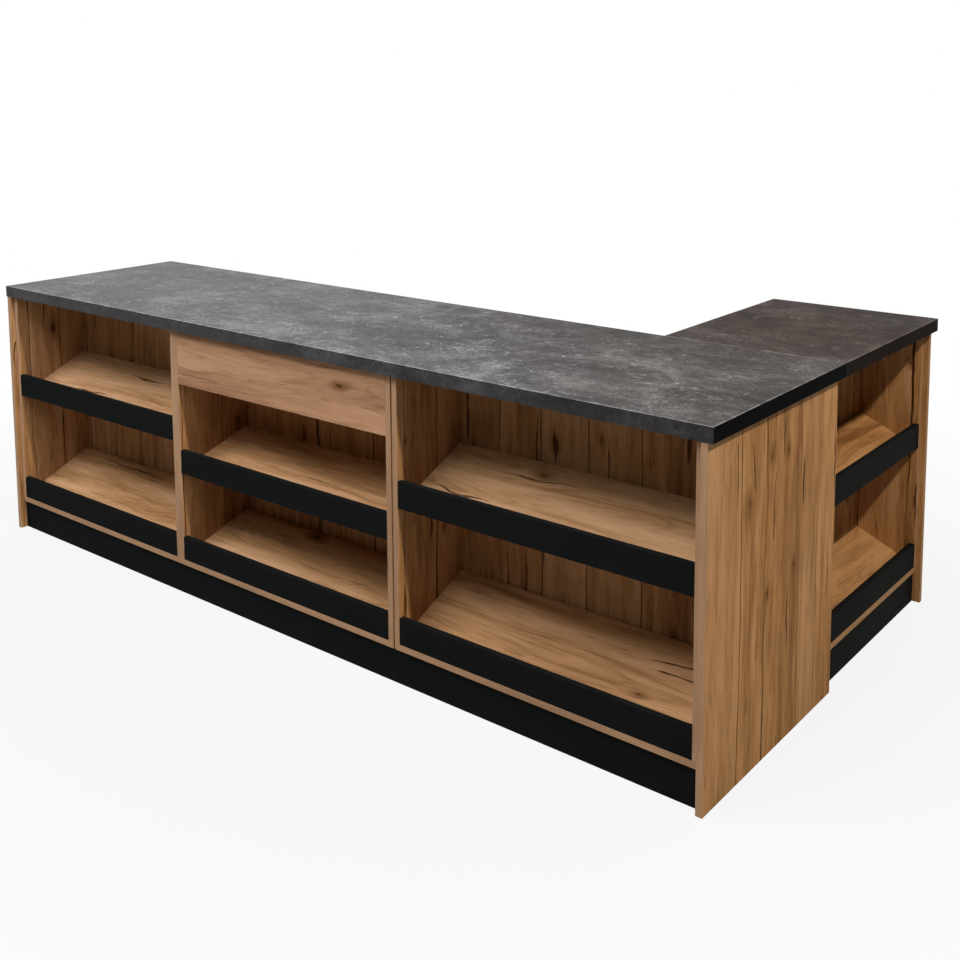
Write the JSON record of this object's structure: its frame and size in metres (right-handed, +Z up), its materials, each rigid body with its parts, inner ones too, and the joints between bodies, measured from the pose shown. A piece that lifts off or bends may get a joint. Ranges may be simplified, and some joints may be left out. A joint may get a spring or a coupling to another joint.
{
  "type": "shop counter",
  "caption": "L-shaped shop counter with grey worktops, open bays of tilted display shelves on the customer side, and shelves and a drawer on the staff side.",
  "frame": {"origin": "on the floor, under the middle of the box that holds the whole counter", "axes": "+Z up, +X along the main run to the right as the customer sees it, +Y from the customer's side to the staff side"},
  "size_m": [2.833, 1.434, 0.9],
  "materials": {
    "oak_laminate": "golden oak decor laminate with a soft matt grain",
    "black_laminate": "black laminated board, matt",
    "concrete_laminate": "dark concrete decor laminate, satin",
    "drawer_board": "light grey melamine faced board",
    "drawer_sheet": "light grey lacquered fibreboard",
    "black_metal": "black powder coat",
    "zinc_steel": "bright zinc plate",
    "black_plastic": "moulded black plastic"
  },
  "bodies": {
    "counter": {"left_unit_bottom": "oak_laminate", "left_unit_left_side": "oak_laminate", "left_unit_right_side": "oak_laminate", "left_unit_partition": "oak_laminate", "left_unit_upper_shelf": "oak_laminate", "left_unit_lower_shelf": "oak_laminate", "left_unit_upper_lip": "black_laminate", "left_unit_lower_lip": "black_laminate", "left_unit_staff_shelf": "oak_laminate", "middle_unit_bottom": "oak_laminate", "middle_unit_left_side": "oak_laminate", "middle_unit_right_side": "oak_laminate", "middle_unit_partition": "oak_laminate", "middle_unit_upper_shelf": "oak_laminate", "middle_unit_lower_shelf": "oak_laminate", "middle_unit_upper_lip": "black_laminate", "middle_unit_lower_lip": "black_laminate", "middle_unit_fascia": "oak_laminate", "middle_unit_drawer_deck": "oak_laminate", "right_unit_bottom": "oak_laminate", "right_unit_left_side": "oak_laminate", "right_unit_right_side": "oak_laminate", "right_unit_partition": "oak_laminate", "right_unit_upper_shelf": "oak_laminate", "right_unit_lower_shelf": "oak_laminate", "right_unit_upper_lip": "black_laminate", "right_unit_lower_lip": "black_laminate", "right_unit_staff_shelf": "oak_laminate", "return_unit_bottom": "oak_laminate", "return_unit_left_side": "oak_laminate", "return_unit_right_side": "oak_laminate", "return_unit_partition": "oak_laminate", "return_unit_upper_shelf": "oak_laminate", "return_unit_lower_shelf": "oak_laminate", "return_unit_upper_lip": "black_laminate", "return_unit_lower_lip": "black_laminate", "return_unit_staff_shelf": "oak_laminate", "end_panel_left": "oak_laminate", "end_panel_right": "oak_laminate", "end_panel_return": "oak_laminate", "worktop_main": "concrete_laminate", "worktop_return": "concrete_laminate", "top_rails_main": "oak_laminate", "top_rails_return": "oak_laminate", "plinth_main": "black_laminate", "plinth_return": "black_laminate", "runner_outer_members": "zinc_steel", "levelling_feet": "black_plastic", "carcass_screws": "zinc_steel", "panel_screws": "zinc_steel", "unit_connectors": "zinc_steel", "worktop_joint_bolts": "zinc_steel"},
    "drawer": {"drawer_front": "oak_laminate", "drawer_left_side": "drawer_board", "drawer_right_side": "drawer_board", "drawer_back": "drawer_board", "drawer_bottom": "drawer_sheet", "drawer_handle": "black_metal", "runner_inner_members": "zinc_steel"},
    "runner_middle": {"runner_middle_members": "zinc_steel"}
  },
  "joints": [
    {"name": "drawer_slide", "type": "slide", "parent": "counter", "child": "drawer", "axis": [0, 1, 0], "range_m": [0, 0.45]},
    {"name": "runner_middle_slide", "type": "slide", "parent": "counter", "child": "runner_middle", "axis": [0, 1, 0], "range_m": [0, 0.225]}
  ],
  "couplings": [
    {"joint": "runner_middle_slide", "follows": "drawer_slide", "ratio": 0.5}
  ]
}
